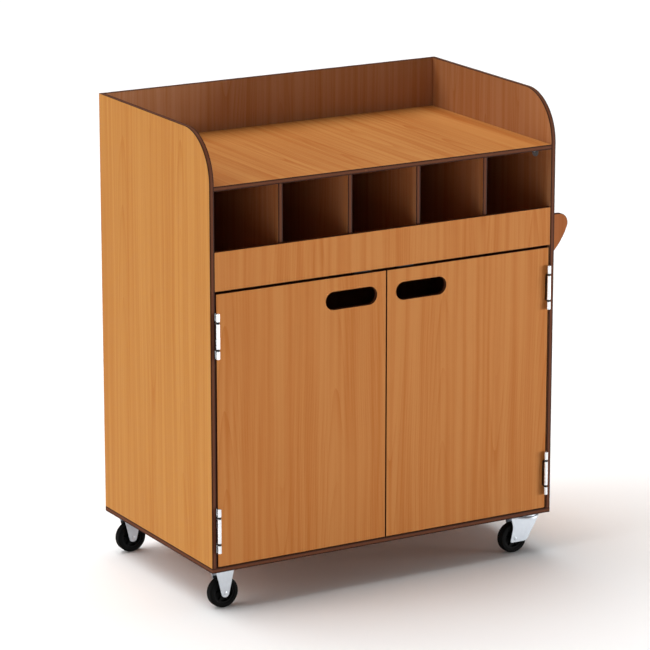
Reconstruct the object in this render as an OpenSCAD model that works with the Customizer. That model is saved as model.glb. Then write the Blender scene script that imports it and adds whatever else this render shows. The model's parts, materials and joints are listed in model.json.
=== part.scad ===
// Cabinet trolley on four casters: five open bins under a railed counter,
// two hinged doors with hand slots below, and a push handle at the right end.
// Millimetres. X runs left to right, Y front to back, Z up from the floor.
// The origin is on the floor, under the middle of the whole outline.

/* [Carcass] */
// Width over the two side panels
cab_w = 950; // [850:10:1200]
// Depth from the front edges to the back face
cab_d = 560; // [480:10:700]
// Thickness of every laminate board
board_t = 12; // [11:0.5:16]
// Height of the door opening, base panel to apron
door_opening_h = 672; // [560:4:800]
// Height of the apron board below the bin mouths
apron_h = 94; // [70:2:140]
// Height of the bin mouths, apron to counter
bin_mouth_h = 143; // [110:1:200]
// Height of the sides and back above the counter
gallery_h = 123; // [80:1:160]
// Straight stretch of side panel edge between counter and curve
curve_land = 3; // [1:1:20]
// Depth of the grooves that the bin dividers stand in
divider_groove = 3; // [2:0.5:5]
// Diameter of the joint dowels
dowel_d = 6; // [5:0.5:7]
// Dowel length in the edge of a board
dowel_edge_l = 20; // [15:1:26]
// Distance of the end dowels from the end of their joint
dowel_inset = 60; // [50:2:90]

/* [Shelf] */
// Height of the shelf top above the base panel
shelf_h = 330; // [250:5:420]
// Distance of the shelf's front edge behind the doors
shelf_setback = 30; // [22:2:90]
// Diameter of the shelf pins
shelf_pin_d = 5; // [4:0.5:6]
// Distance of the shelf pins from the shelf's front and back edges
shelf_pin_inset = 50; // [30:5:90]

/* [Doors] */
// Gap between the door tops and the apron
door_gap_top = 6; // [2:0.5:9]
// Gap between the doors and the base panel
door_gap_bottom = 2; // [1:0.5:5]
// Gap between the two doors
door_gap_meet = 3; // [2:0.5:5]
// Width of a hand slot
slot_w = 140; // [100:2:170]
// Height of a hand slot
slot_h = 44; // [34:1:54]
// Distance from the door top to the hand slot
slot_drop = 34; // [28:1:60]
// Distance from the door's meeting edge to the hand slot
slot_inset = 25; // [20:1:60]

/* [Hinges] */
// Diameter of the hinge knuckles
knuckle_d = 10; // [9:0.5:12]
// Length of the middle knuckle
knuckle_long = 60; // [50:1:70]
// Length of each end knuckle
knuckle_short = 19; // [16:1:26]
// Length of the nylon bushes between the knuckles
bush_l = 5.5; // [4:0.5:7]
// Diameter of the hinge pins
pin_d = 5; // [4:0.5:5.5]
// Thickness of the hinge leaves
leaf_t = 1.5; // [1:0.1:2]
// Width of a hinge leaf on its board
leaf_w = 30; // [26:1:36]
// Distance from the door top to the upper hinge
hinge_drop = 45; // [40:1:100]
// Distance from the door bottom to the lower hinge
hinge_rise = 36; // [20:1:100]
// Depth of the door notch behind the middle knuckle
notch_d = 8; // [6:0.5:9]

/* [Counter brackets] */
// Width of an angle bracket
bracket_w = 26; // [20:1:34]
// Length of each bracket leg
bracket_leg = 30; // [24:1:40]
// Thickness of the bracket plate
bracket_t = 2.5; // [1.5:0.5:4]
// Distance of the brackets behind the counter's end dowels
bracket_step = 10; // [8:1:40]

/* [Door catches] */
// Length of a magnetic catch
catch_l = 46; // [40:1:56]
// Height of a magnetic catch
catch_h = 14; // [12:1:16]
// Depth of a magnetic catch
catch_w = 15; // [12:1:20]
// Distance from the middle of the front to a catch's centre
catch_offset = 60; // [35:1:120]

/* [Handle] */
// Reach of the handle from the side panel
handle_reach = 86; // [75:1:110]
// Height of a handle cheek along the side panel
cheek_h = 128; // [110:2:150]
// Radius of the cheek's nose
nose_r = 25; // [22:0.5:28]
// Radius of the cheek's lower edge
belly_r = 180; // [150:5:260]
// Height of the cheeks' top edge above the bin floor
handle_rise = 43; // [36:1:46]
// Distance of the cheeks from the front and from the back
handle_inset = 70; // [50:5:110]
// Diameter of the grip bar
bar_d = 28; // [24:1:32]
// Depth that the bar is let into each cheek
bar_seat = 6; // [4:0.5:8]

/* [Casters] */
// Diameter of the wheels
wheel_d = 76; // [70:1:80]
// Width of the tread
wheel_w = 21; // [18:1:24]
// Height of a caster, floor to base panel
caster_h = 101; // [98:1:110]
// Distance of the caster plates' centres from the cabinet's ends
caster_inset_x = 47.5; // [46:0.5:80]
// Distance of the caster plates' centres from the front and back
caster_inset_y = 40; // [34:1:80]
// Distance that a swivel wheel trails behind its king pin
caster_trail = 37; // [32:1:40]
// Length of a mounting plate
plate_l = 78; // [76:1:88]
// Width of a mounting plate
plate_w = 56; // [54:1:66]
// Thickness of plates and forks
plate_t = 2.5; // [2:0.1:3]
// Diameter of the wheel axles
axle_d = 6; // [5:0.5:8]
// Diameter of the king pins
kingpin_d = 10; // [8:0.5:12]
// Diameter of the bearing balls in the swivel heads
ball_d = 5; // [4.5:0.25:5.5]
// Number of bearing balls in each swivel head
ball_count = 16; // [12:1:20]

/* [Hidden] */
$fn = 72;

// Finishes
face_colour = "#BE7B43";
side_colour = "#CE9150";
zinc_colour = "#C5CAD3";
bright_colour = "#E9EEF1";
grey_colour = "#6F787D";
black_colour = "#151515";
bar_colour = "#B9763F";

// Clearances
fit = 0.05;              // radial, between a pin and its bore
seat_gap = 0.1;          // between pieces that slide together
leaf_clear = 0.5;        // between the two leaves of a closed hinge
shelf_clear = 0.5;       // between the shelf and its pins' flanges
catch_clear = 0.3;       // between a catch and its strike plate

// Heights above the underside of the base panel
apron_z = board_t + door_opening_h;
floor_z = apron_z;
mouth_z = apron_z + apron_h;
counter_z = mouth_z + bin_mouth_h;
counter_top_z = counter_z + board_t;
top_z = counter_top_z + gallery_h;
curve_r = gallery_h - curve_land;
inner_w = cab_w - 2 * board_t;
inner_d = cab_d - board_t;

// Bins
bins = 5;
bin_w = (inner_w - (bins - 1) * board_t) / bins;
function divider_x(i) = board_t + i * bin_w + (i - 1) * board_t;

// Hinges: the knuckles stand just proud of the front edges
knuckle_r = knuckle_d / 2;
knuckle_gap = 0.5;
hinge_x = board_t + knuckle_r;
hinge_y = -(knuckle_r + knuckle_gap);
hinge_l = 2 * knuckle_short + knuckle_long + 2 * bush_l;
mid_z = knuckle_short + bush_l;
leaf_front = 1;
door_edge = 2 * leaf_t + leaf_clear;
door_w = (inner_w - 2 * door_edge - door_gap_meet) / 2;
door_z = board_t + door_gap_bottom;
door_h = door_opening_h - door_gap_top - door_gap_bottom;
hinge_zs = [door_z + door_h - hinge_drop - hinge_l, door_z + hinge_rise];
pin_head = 1.2;
notch_over = 3.6;
notch_chamfer = 4;

// Screws: shank diameter, head diameter, head height, skin of board left in front of the tip
screw_d = 3.5;
screw_head_d = 7;
screw_head_h = 2;
screw_skin = 3;
leaf_screw_end = 14;
plate_screw_d = 5;
plate_screw_head_d = 9;
plate_screw_head_h = 3;
long_screw_d = 4;
long_screw_l = 45;
long_screw_head_d = 8;
long_screw_head_h = 3;

// Whole outline on the floor
cab_x = -(cab_w + handle_reach) / 2;
cab_y = -(cab_d + hinge_y - knuckle_r) / 2;

// Casters, measured down from the base panel
wheel_r = wheel_d / 2;
axle_z = wheel_r - caster_h;
hub_side_gap = 0.3;
hub_l = wheel_w + 5;
cheek_in = hub_l / 2 + hub_side_gap;
cheek_out = cheek_in + plate_t;
plate_hole_x = plate_l / 2 - 9;
plate_hole_y = plate_w / 2 - 9;
ball_r = ball_d / 2;
race_r = 22;
race_lip = 7.5;
race_out = race_r + race_lip;
race_gap = 0.8;
ball_groove = ball_r + seat_gap;
ball_z = -(plate_t + 3 + ball_r);
crown_t = ball_r + 1.5;
crown_top = ball_z - race_gap / 2;
crown_bottom = crown_top - crown_t;
crown_r = race_out + 4;
kingpin_head_r = kingpin_d / 2 + 3;

// ---- helpers ----

module in_cabinet() translate([cab_x, cab_y, caster_h]) children();

module on_right() translate([cab_w, 0, 0]) mirror([1, 0, 0]) children();

module at_rear() translate([0, cab_d, 0]) mirror([0, 1, 0]) children();

// A board from its low corner and its size
module board(corner, size) translate(corner) cube(size);

// Round the corners of a polygon given as [x, y, radius]
function corner_arc(a, b, c, r, n = 6) =
    let (u = (a - b) / norm(a - b), v = (c - b) / norm(c - b),
         half = acos(u * v) / 2,
         mid = b + (u + v) / norm(u + v) * r / sin(half),
         p = b + u * r / tan(half), q = b + v * r / tan(half),
         s = atan2(p[1] - mid[1], p[0] - mid[0]),
         e = atan2(q[1] - mid[1], q[0] - mid[0]),
         turn = (e - s + 540) % 360 - 180)
    [for (i = [0 : n]) mid + r * [cos(s + turn * i / n), sin(s + turn * i / n)]];

function xy(p) = [p[0], p[1]];

function rounded(points) =
    let (n = len(points))
    [for (i = [0 : n - 1])
        each (points[i][2] == 0 ? [xy(points[i])]
            : corner_arc(xy(points[(i + n - 1) % n]), xy(points[i]), xy(points[(i + 1) % n]),
                         points[i][2]))];

function rounded_rect(l, w, r) =
    rounded([[-l / 2, -w / 2, r], [l / 2, -w / 2, r], [l / 2, w / 2, r], [-l / 2, w / 2, r]]);

// Where the line from p touches the circle at c; side is 1 or -1
function tangent_point(p, c, r, side) =
    let (d = p - c, spread = acos(r / norm(d)), a = atan2(d[1], d[0]) + side * spread)
    c + r * [cos(a), sin(a)];

// Turn +Z to the named direction
module aim(direction) {
    turn = direction == "+x" ? [0, 90, 0] : direction == "-x" ? [0, -90, 0]
         : direction == "+y" ? [-90, 0, 0] : direction == "-y" ? [90, 0, 0]
         : direction == "-z" ? [180, 0, 0] : [0, 0, 0];
    rotate(turn) children();
}

// Draw in the XZ plane and give the shape a thickness from y = 0 towards +Y
module upright(t) translate([0, t, 0]) rotate([90, 0, 0]) linear_extrude(t) children();

// A screw: head above z = 0, shank below it
module pan_screw(d, l, head_d, head_h) {
    rotate_extrude() polygon([[0, 0], [head_d / 2, 0], [head_d / 2, head_h * 0.3],
        [head_d * 0.4, head_h * 0.8], [head_d * 0.25, head_h], [0, head_h]]);
    translate([0, 0, -l]) cylinder(d = d, h = l);
}

module screw_bore(d, l) translate([0, 0, -l - 0.5]) cylinder(d = d + 2 * fit, h = l + 1);

// ---- joint dowels: [point on the joint, direction into the edge-drilled board] ----

dowel_face_l = board_t - 4;
function spread(n, a, b) = [for (i = [0 : n - 1]) a + (b - a) * i / (n - 1)];
side_ys = spread(3, dowel_inset, inner_d - dowel_inset);
back_zs = spread(3, board_t + dowel_inset, top_z - dowel_inset);
back_xs = spread(3, board_t + dowel_inset, cab_w - board_t - dowel_inset);
counter_mid = counter_z + board_t / 2;
floor_mid = floor_z + board_t / 2;
back_mid = cab_d - board_t / 2;
dowel_joints = concat(
    [for (y = side_ys, x = [board_t / 2, cab_w - board_t / 2]) [[x, y, board_t], "+z"]],
    [for (y = side_ys, z = [counter_mid, floor_mid]) [[board_t, y, z], "+x"]],
    [for (y = side_ys, z = [counter_mid, floor_mid]) [[cab_w - board_t, y, z], "-x"]],
    [for (z = back_zs) [[board_t, back_mid, z], "+x"]],
    [for (z = back_zs) [[cab_w - board_t, back_mid, z], "-x"]],
    [for (x = back_xs) [[x, back_mid, board_t], "+z"]],
    [for (x = back_xs) [[x, board_t, floor_mid], "+y"]]);

module dowels(clear = 0)
    for (joint = dowel_joints)
        translate(joint[0]) aim(joint[1]) translate([0, 0, -dowel_face_l - clear])
            cylinder(d = dowel_d + 2 * clear, h = dowel_face_l + dowel_edge_l + 2 * clear);

// ---- places of the small fittings, in cabinet coordinates ----

frame_screw_y = hinge_y + knuckle_r + knuckle_gap + leaf_front + leaf_w * 0.62;
leaf_screw_zs = [leaf_screw_end, hinge_l / 2, hinge_l - leaf_screw_end];
bracket_ys = [dowel_inset + bracket_step, inner_d - dowel_inset - bracket_step];
bracket_hole = bracket_leg - bracket_w / 2;
catch_z = floor_z - catch_h;
strike_t = 1.5;
strike_l = 38;
strike_rim = 5;
catch_y = board_t + strike_t + catch_clear;
catch_x = cab_w / 2 - catch_offset;
strike_z = catch_z - 2 * strike_rim - 3;
strike_h = door_z + door_h - 1 - strike_z;
catch_screw_x = catch_l / 2 - 6;
plate_centres = [caster_inset_y, cab_d - caster_inset_y];

// Screws of the left half: [point under the head, direction of the head, thickness of the fitting]
left_fitting_places = concat(
    [for (z = hinge_zs, s = leaf_screw_zs) [[board_t + leaf_t, frame_screw_y, z + s], "+x", leaf_t]],
    [for (y = bracket_ys) [[board_t + bracket_t, y, counter_z - bracket_hole], "+x", bracket_t]],
    [for (y = bracket_ys) [[board_t + bracket_hole, y, counter_z - bracket_t], "-z", bracket_t]],
    [for (s = [-1, 1]) [[catch_x + s * catch_screw_x, catch_y + catch_w / 2, catch_z], "-z", catch_h]]);

module left_fitting_screws(bores = false)
    for (place = left_fitting_places)
        translate(place[0]) aim(place[1])
            if (bores) screw_bore(screw_d, place[2] + board_t - screw_skin);
            else pan_screw(screw_d, place[2] + board_t - screw_skin, screw_head_d, screw_head_h);

module fitting_bores() {
    left_fitting_screws(bores = true);
    on_right() left_fitting_screws(bores = true);
}

// Wood screws through the right side panel into the handle cheeks
handle_screw_zs = [-cheek_h * 0.2, -cheek_h * 0.68];
handle_top_z = floor_z + board_t + handle_rise;
handle_ys = [handle_inset + board_t / 2, cab_d - handle_inset - board_t / 2];

module handle_screw(clear = 0) {
    translate([0, 0, -long_screw_l - clear]) cylinder(d = long_screw_d + 2 * clear, h = long_screw_l);
    translate([0, 0, -long_screw_head_h]) cylinder(d1 = long_screw_d + 2 * clear,
        d2 = long_screw_head_d + 2 * clear, h = long_screw_head_h + clear);
}

module handle_screw_set(clear = 0)
    for (y = handle_ys, z = handle_screw_zs)
        translate([cab_w - board_t, y, handle_top_z + z]) aim("-x") handle_screw(clear);

// Screws of the four caster plates
module caster_screw_set(bores = false)
    for (x = [caster_inset_x, cab_w - caster_inset_x], y = plate_centres,
         sx = [-1, 1], sy = [-1, 1])
        translate([x + sx * plate_hole_x, y + sy * plate_hole_y, -plate_t]) aim("-z")
            if (bores) screw_bore(plate_screw_d, plate_t + board_t - screw_skin);
            else pan_screw(plate_screw_d, plate_t + board_t - screw_skin, plate_screw_head_d,
                           plate_screw_head_h);

// ---- carcass boards ----

module side_outline() {
    side_h = top_z - board_t;
    square([cab_d, side_h - curve_r]);
    translate([curve_r, 0]) square([cab_d - curve_r, side_h]);
    translate([curve_r, side_h - curve_r]) circle(r = curve_r, $fn = 180);
}

module side_board() translate([0, 0, board_t]) rotate([90, 0, 90])
    linear_extrude(board_t) side_outline();

shelf_z = board_t + shelf_h - board_t;
shelf_y = board_t + shelf_setback;
shelf_d = inner_d - shelf_y - 2;
shelf_flange = 1.5;
shelf_tongue = 10;
shelf_pin_flat = 1;
pin_ys = [shelf_y + shelf_pin_inset, shelf_y + shelf_d - shelf_pin_inset];

module shelf_pin(clear = 0) {
    translate([0, 0, -board_t + screw_skin + 1 - clear])
        cylinder(d = shelf_pin_d + 2 * clear, h = board_t - screw_skin - 1 + 2 * clear);
    if (clear == 0) {
        cylinder(d = shelf_pin_d + 5, h = shelf_flange);
        intersection() {
            cylinder(d = shelf_pin_d + 3, h = shelf_flange + shelf_tongue);
            translate([-shelf_pin_flat, -shelf_pin_d, 0])
                cube([2 * shelf_pin_d, 2 * shelf_pin_d, shelf_flange + shelf_tongue]);
        }
    }
}

module left_shelf_pins(clear = 0)
    for (y = pin_ys)
        translate([board_t, y, shelf_z - shelf_pin_flat]) aim("+x") shelf_pin(clear);

module base_panel() color(face_colour) in_cabinet() difference() {
    board([0, 0, 0], [cab_w, cab_d, board_t]);
    dowels(fit);
    caster_screw_set(bores = true);
}

module left_side_panel() color(side_colour) in_cabinet() difference() {
    side_board();
    dowels(fit);
    left_fitting_screws(bores = true);
    left_shelf_pins(fit);
}

module right_side_panel() color(side_colour) in_cabinet() difference() {
    on_right() side_board();
    dowels(fit);
    on_right() left_fitting_screws(bores = true);
    on_right() left_shelf_pins(fit);
    handle_screw_set(fit);
}

module back_panel() color(face_colour) in_cabinet() difference() {
    board([board_t, inner_d, board_t], [inner_w, board_t, top_z - board_t]);
    dowels(fit);
}

// One groove per divider, open towards z = 0, board_t deep in y from the apron's back
module divider_grooves(z)
    for (i = [1 : bins - 1])
        board([divider_x(i) - seat_gap, board_t, z],
              [board_t + 2 * seat_gap, inner_d - board_t, divider_groove]);

module countertop() color(face_colour) in_cabinet() difference() {
    board([board_t, 0, counter_z], [inner_w, inner_d, board_t]);
    divider_grooves(counter_z);
    dowels(fit);
    fitting_bores();
}

module bin_floor() color(face_colour) in_cabinet() difference() {
    board([board_t, board_t, floor_z], [inner_w, inner_d - board_t, board_t]);
    divider_grooves(floor_z + board_t - divider_groove);
    dowels(fit);
    fitting_bores();
}

module apron() color(face_colour) in_cabinet() difference() {
    board([board_t, 0, apron_z], [inner_w, board_t, apron_h]);
    dowels(fit);
}

module bin_divider(i) {
    low = floor_z + board_t - divider_groove;
    color(face_colour) in_cabinet()
        board([divider_x(i), board_t, low],
              [board_t, inner_d - board_t, counter_z + divider_groove - seat_gap - low]);
}

module bin_divider_1() bin_divider(1);
module bin_divider_2() bin_divider(2);
module bin_divider_3() bin_divider(3);
module bin_divider_4() bin_divider(4);

module shelf() {
    end = board_t + shelf_flange + shelf_clear;
    color(face_colour) in_cabinet()
        board([end, shelf_y, shelf_z], [cab_w - 2 * end, shelf_d, board_t]);
}

module shelf_pins() color(bright_colour) in_cabinet() {
    left_shelf_pins();
    on_right() left_shelf_pins();
}

module panel_dowels() color("#D9B98A") in_cabinet() dowels();

// ---- small carcass fittings ----

// Round-ended leg of an angle bracket, from the corner along +X
module bracket_leg_shape() difference() {
    union() {
        translate([0, -bracket_w / 2]) square([bracket_hole, bracket_w]);
        translate([bracket_hole, 0]) circle(d = bracket_w);
    }
    translate([bracket_hole, 0]) circle(d = screw_d + 2 * fit);
}

module left_brackets()
    for (y = bracket_ys) {
        translate([board_t, y, counter_z - bracket_t]) linear_extrude(bracket_t) bracket_leg_shape();
        translate([board_t, y, counter_z]) rotate([0, 90, 0]) linear_extrude(bracket_t) bracket_leg_shape();
    }

module counter_brackets() color(grey_colour) in_cabinet() {
    left_brackets();
    on_right() left_brackets();
}

module fitting_screws() color(bright_colour) in_cabinet() {
    left_fitting_screws();
    on_right() left_fitting_screws();
}

// Magnetic catch under the bin floor, its magnet face towards the door
module left_catch() difference() {
    translate([catch_x, catch_y + catch_w / 2, catch_z])
        linear_extrude(catch_h) polygon(rounded_rect(catch_l, catch_w, 3));
    for (s = [-1, 1])
        translate([catch_x + s * catch_screw_x, catch_y + catch_w / 2, catch_z - 1])
            cylinder(d = screw_d + 2 * fit, h = catch_h + 2);
}

module door_catches() color("#2A2A2C") in_cabinet() {
    left_catch();
    on_right() left_catch();
}

// ---- handle ----

nose_c = [handle_reach - nose_r, -nose_r];
belly_foot = [0, -cheek_h];
// Centre of the lower edge's arc: it touches the nose and meets the panel at the cheek's foot
function belly_centre() =
    let (a = belly_r - nose_r, b = belly_r, d = norm(belly_foot - nose_c),
         u = (belly_foot - nose_c) / d,
         along = (a * a - b * b + d * d) / (2 * d), across = sqrt(a * a - along * along))
    nose_c + u * along + [u[1], -u[0]] * across;

module cheek_outline() {
    c = belly_centre();
    out = (nose_c - c) / norm(nose_c - c);
    translate(nose_c) circle(r = nose_r, $fn = 120);
    intersection() {
        translate(c) circle(r = belly_r, $fn = 240);
        polygon([[0, 0], [nose_c[0], 0], nose_c, nose_c + out * 3 * nose_r,
                 [handle_reach, -2 * cheek_h], [0, -2 * cheek_h]]);
    }
}

module handle_cheek() difference() {
    translate([cab_w, handle_inset, handle_top_z]) upright(board_t) cheek_outline();
    translate([cab_w + nose_c[0], handle_inset + board_t - bar_seat - seat_gap, handle_top_z + nose_c[1]])
        aim("+y") cylinder(d = bar_d + 2 * fit, h = bar_seat + 2 * seat_gap);
}

module handle_cheek_front() color(face_colour) in_cabinet() difference() {
    handle_cheek();
    handle_screw_set(fit);
}

module handle_cheek_rear() color(face_colour) in_cabinet() difference() {
    at_rear() handle_cheek();
    handle_screw_set(fit);
}

module handle_bar() {
    start = handle_inset + board_t - bar_seat;
    color(bar_colour) in_cabinet()
        translate([cab_w + nose_c[0], start, handle_top_z + nose_c[1]]) aim("+y")
            cylinder(d = bar_d, h = cab_d - 2 * start, $fn = 96);
}

module handle_screws() color(bright_colour) in_cabinet() handle_screw_set();

// ---- hinges, drawn for the left side with the knuckle axis on Z ----

door_front = knuckle_r + knuckle_gap;
door_back = door_front + board_t;
leaf_in = -knuckle_r + leaf_t + leaf_clear;

module at_hinge(z) translate([hinge_x, hinge_y, z]) children();

module knuckle(z, l) translate([0, 0, z]) cylinder(r = knuckle_r, h = l);

module pin_bore() translate([0, 0, -5]) cylinder(d = pin_d + 2 * fit, h = hinge_l + 10);

// Plate on the side panel, with the middle knuckle at its front
module frame_leaf() difference() {
    union() {
        knuckle(mid_z, knuckle_long);
        board([-knuckle_r, 0, mid_z], [leaf_t, door_front + leaf_front + 1, knuckle_long]);
        board([-knuckle_r, door_front + leaf_front, 0], [leaf_t, leaf_w, hinge_l]);
    }
    pin_bore();
    for (z = leaf_screw_zs)
        translate([-knuckle_r - 1, frame_screw_y - hinge_y, z]) aim("+x")
            cylinder(d = screw_d + 2 * fit, h = leaf_t + 2);
}

door_screw_x = leaf_in + leaf_w * 0.72;

// Plate on the back of the door, wrapped round its edge to the two end knuckles
module door_leaf() difference() {
    union() {
        for (z = [0, hinge_l - knuckle_short]) {
            knuckle(z, knuckle_short);
            board([leaf_in, 0, z], [leaf_t, door_back + leaf_t, knuckle_short]);
        }
        board([leaf_in, door_back, 0], [leaf_w, leaf_t, hinge_l]);
    }
    pin_bore();
    board([leaf_in - 1, door_back - 1, mid_z - notch_over],
          [leaf_t + notch_d + 2, leaf_t + 2, knuckle_long + 2 * notch_over]);
    for (z = leaf_screw_zs)
        translate([door_screw_x, door_back - 1, z]) aim("+y")
            cylinder(d = screw_d + 2 * fit, h = leaf_t + 2);
}

module hinge_pin() rotate_extrude() polygon([
    [0, -pin_head], [pin_d * 0.45, -pin_head], [pin_d * 0.7, -pin_head * 0.5], [pin_d * 0.7, 0],
    [pin_d / 2, 0], [pin_d / 2, hinge_l], [pin_d * 0.7, hinge_l],
    [pin_d * 0.7, hinge_l + pin_head * 0.5], [pin_d * 0.45, hinge_l + pin_head],
    [0, hinge_l + pin_head]]);

module left_bushes()
    for (z = hinge_zs, s = [knuckle_short, mid_z + knuckle_long])
        at_hinge(z + s + seat_gap) difference() {
            cylinder(r = knuckle_r - 1, h = bush_l - 2 * seat_gap);
            translate([0, 0, -1]) cylinder(d = pin_d + 2 * fit, h = bush_l + 2);
        }

module left_upper_frame_leaf() color(bright_colour) in_cabinet()
    at_hinge(hinge_zs[0]) frame_leaf();
module left_lower_frame_leaf() color(bright_colour) in_cabinet()
    at_hinge(hinge_zs[1]) frame_leaf();
module right_upper_frame_leaf() color(bright_colour) in_cabinet()
    on_right() at_hinge(hinge_zs[0]) frame_leaf();
module right_lower_frame_leaf() color(bright_colour) in_cabinet()
    on_right() at_hinge(hinge_zs[1]) frame_leaf();

module left_upper_door_leaf() color(bright_colour) in_cabinet()
    at_hinge(hinge_zs[0]) door_leaf();
module left_lower_door_leaf() color(bright_colour) in_cabinet()
    at_hinge(hinge_zs[1]) door_leaf();
module right_upper_door_leaf() color(bright_colour) in_cabinet()
    on_right() at_hinge(hinge_zs[0]) door_leaf();
module right_lower_door_leaf() color(bright_colour) in_cabinet()
    on_right() at_hinge(hinge_zs[1]) door_leaf();

module left_upper_hinge_pin() color(bright_colour) in_cabinet()
    at_hinge(hinge_zs[0]) hinge_pin();
module left_lower_hinge_pin() color(bright_colour) in_cabinet()
    at_hinge(hinge_zs[1]) hinge_pin();
module right_upper_hinge_pin() color(bright_colour) in_cabinet()
    on_right() at_hinge(hinge_zs[0]) hinge_pin();
module right_lower_hinge_pin() color(bright_colour) in_cabinet()
    on_right() at_hinge(hinge_zs[1]) hinge_pin();

module hinge_bushes() color(black_colour) in_cabinet() {
    left_bushes();
    on_right() left_bushes();
}

// ---- doors, drawn for the left side ----

// Notch behind a middle knuckle, with sloped ends
module notch(z) translate([0, z]) polygon([
    [-1, -notch_over - 1], [notch_d - notch_chamfer, -notch_over],
    [notch_d, notch_chamfer - notch_over], [notch_d, knuckle_long + notch_over - notch_chamfer],
    [notch_d - notch_chamfer, knuckle_long + notch_over], [-1, knuckle_long + notch_over + 1]]);

module hand_slot() {
    square([slot_w - slot_h, slot_h], center = true);
    for (s = [-1, 1]) translate([s * (slot_w - slot_h) / 2, 0]) circle(d = slot_h);
}

module door_outline() difference() {
    square([door_w, door_h]);
    translate([door_w - slot_inset - slot_w / 2, door_h - slot_drop - slot_h / 2]) hand_slot();
    for (z = hinge_zs) notch(z + mid_z - door_z);
}

// Screws on the back of a door: [x, z, thickness under the head]
door_screw_places = concat(
    [for (z = hinge_zs, s = leaf_screw_zs) [hinge_x + door_screw_x, z + s, leaf_t]],
    [for (s = [-1, 1]) [catch_x + s * strike_l / 3, strike_z + strike_rim, strike_t]]);

module left_door_screw_set(bores = false)
    for (place = door_screw_places)
        translate([place[0], board_t + place[2], place[1]]) aim("+y")
            if (bores) screw_bore(screw_d, place[2] + board_t - screw_skin);
            else pan_screw(screw_d, place[2] + board_t - screw_skin, screw_head_d, screw_head_h);

module door() difference() {
    translate([board_t + door_edge, 0, door_z]) upright(board_t) door_outline();
    left_door_screw_set(bores = true);
}

module strike_plate() difference() {
    translate([catch_x, board_t, strike_z + strike_h / 2]) upright(strike_t)
        polygon(rounded_rect(strike_l, strike_h, 2));
    left_door_screw_set(bores = true);
}

module left_door() color(face_colour) in_cabinet() door();
module right_door() color(face_colour) in_cabinet() on_right() door();
module left_door_screws() color(bright_colour) in_cabinet() left_door_screw_set();
module right_door_screws() color(bright_colour) in_cabinet() on_right() left_door_screw_set();
module left_strike_plate() color(zinc_colour) in_cabinet() strike_plate();
module right_strike_plate() color(zinc_colour) in_cabinet() on_right() strike_plate();

// ---- casters, drawn below z = 0 with the plate's centre on Z ----

module plate_blank() difference() {
    translate([0, 0, -plate_t]) linear_extrude(plate_t) polygon(rounded_rect(plate_l, plate_w, 5));
    for (sx = [-1, 1], sy = [-1, 1])
        translate([sx * plate_hole_x, sy * plate_hole_y, -plate_t - 1])
            cylinder(d = plate_screw_d + 2 * fit, h = plate_t + 2);
}

rigid_top = 50;
rigid_end_r = 10.5;
axle_bore_d = axle_d + 0.1;

module rigid_cheek_outline() {
    foot = [0, axle_z];
    right_top = [rigid_top / 2, -plate_t];
    left_top = [-rigid_top / 2, -plate_t];
    polygon([left_top, tangent_point(left_top, foot, rigid_end_r, 1), foot,
             tangent_point(right_top, foot, rigid_end_r, -1), right_top]);
    translate(foot) circle(r = rigid_end_r);
}

module axle_hole(x) translate([x, -cheek_out - 1, axle_z]) aim("+y")
    cylinder(d = axle_bore_d, h = 2 * cheek_out + 2);

module rigid_fork() difference() {
    union() {
        plate_blank();
        board([-rigid_top / 2, -cheek_out, -2 * plate_t], [rigid_top, 2 * cheek_out, plate_t]);
        for (y = [-cheek_out, cheek_in]) translate([0, y, 0]) upright(plate_t) rigid_cheek_outline();
    }
    axle_hole(0);
}

// Riveted axle, its heads on the outside of the cheeks
axle_head_h = 0.8;
module axle(x) translate([x, 0, axle_z]) aim("+y") rotate_extrude() polygon([
    [0, -cheek_out - axle_head_h], [axle_d * 0.5, -cheek_out - axle_head_h],
    [axle_d * 0.75, -cheek_out], [axle_d / 2, -cheek_out], [axle_d / 2, cheek_out],
    [axle_d * 0.75, cheek_out], [axle_d * 0.5, cheek_out + axle_head_h],
    [0, cheek_out + axle_head_h]]);

module ball_race_groove() translate([0, 0, ball_z]) rotate_extrude()
    translate([race_r, 0]) circle(r = ball_groove, $fn = 48);

module top_plate() difference() {
    union() {
        plate_blank();
        translate([0, 0, ball_z + race_gap / 2])
            cylinder(r = race_out, h = -plate_t - ball_z - race_gap / 2);
    }
    ball_race_groove();
    translate([0, 0, ball_z]) cylinder(r = kingpin_d / 2 + fit, h = -ball_z + 1);
    translate([0, 0, -plate_t]) cylinder(r1 = kingpin_d / 2 + fit, r2 = kingpin_head_r + fit, h = plate_t);
}

// King pin: countersunk head in the plate, rivet head under the fork's crown
module kingpin() rotate_extrude() polygon([
    [0, 0], [kingpin_head_r, 0], [kingpin_d / 2, -plate_t], [kingpin_d / 2, crown_bottom - seat_gap],
    [kingpin_head_r, crown_bottom - seat_gap], [kingpin_head_r, crown_bottom - seat_gap - 2],
    [kingpin_d / 2, crown_bottom - seat_gap - 3], [0, crown_bottom - seat_gap - 3]]);

module balls()
    for (i = [0 : ball_count - 1])
        rotate([0, 0, 360 * i / ball_count]) translate([race_r, 0, ball_z]) sphere(r = ball_r, $fn = 24);

// Raked cheek, leaning back from the crown to the axle
cheek_low = 9.5;
cheek_aft = 14;
cheek_fore = 33;
cheek_waist = 6;
waist_z = -35;
cheek_top_aft = 11;

module swivel_cheek_outline() polygon(rounded([
    [-caster_trail - cheek_top_aft, crown_bottom, 0],
    [-caster_trail - cheek_waist, waist_z, 30],
    [-caster_trail - cheek_aft, axle_z - cheek_low, 4],
    [-caster_trail + cheek_fore, axle_z - cheek_low, 6],
    [crown_r - 1.5, crown_bottom, 0]]));

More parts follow.
